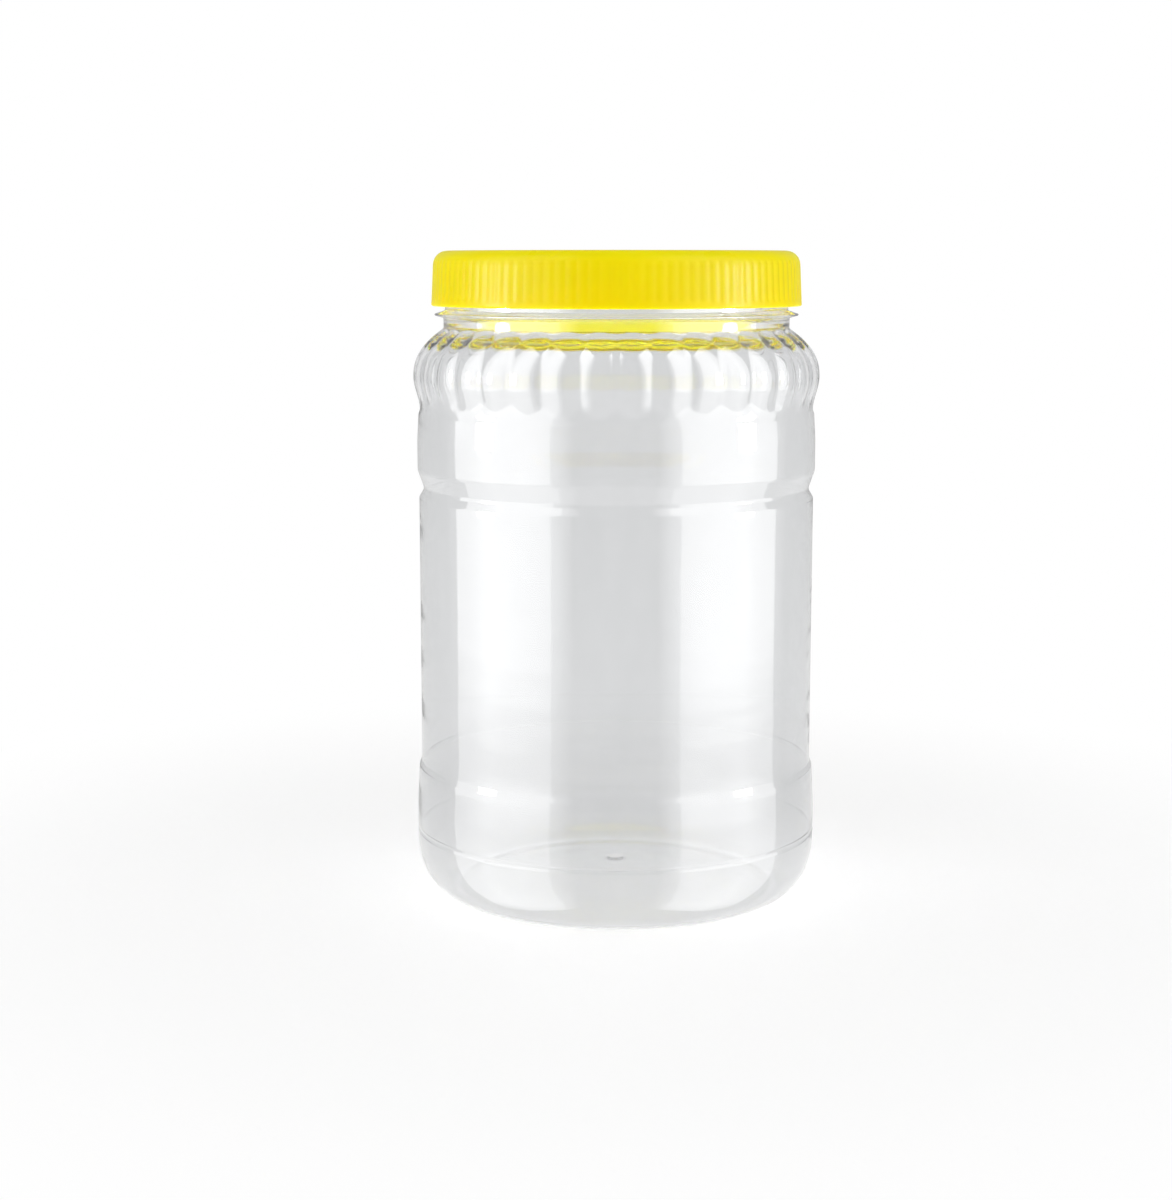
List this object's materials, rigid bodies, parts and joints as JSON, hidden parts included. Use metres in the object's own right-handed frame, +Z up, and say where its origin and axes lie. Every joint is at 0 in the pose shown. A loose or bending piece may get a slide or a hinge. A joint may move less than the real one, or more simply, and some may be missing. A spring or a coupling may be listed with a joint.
{
  "type": "food storage jar",
  "caption": "Clear wide-mouth food storage jar with a fluted shoulder, a recessed body panel and a ribbed yellow screw lid over a sealing disc.",
  "frame": {"origin": "centre of the ring that the jar stands on, at floor level", "axes": "+Z up along the jar's axis; the shoulder's valleys lie every 10 degrees from +X; -Y is the pictured front"},
  "size_m": [0.1386, 0.1386, 0.221],
  "materials": {
    "jar_body": "clear, polished",
    "screw_lid": "satin moulded",
    "seal_liner": "soft moulded"
  },
  "bodies": {
    "jar": {"jar_body": "jar_body"},
    "seal": {"seal_liner": "seal_liner"},
    "lid": {"screw_lid": "screw_lid"}
  },
  "joints": [
    {"name": "lid_rise", "type": "slide", "parent": "jar", "child": "seal", "axis": [0, 0, 1], "range_m": [0, 0.0229]},
    {"name": "lid_turn", "type": "hinge", "parent": "seal", "child": "lid", "pos_m": [0, 0, 0.2172], "axis": [0, 0, 1], "range_deg": [0, 540]}
  ],
  "couplings": [
    {"joint": "lid_rise", "follows": "lid_turn", "m_per_rad": 0.0024255}
  ]
}
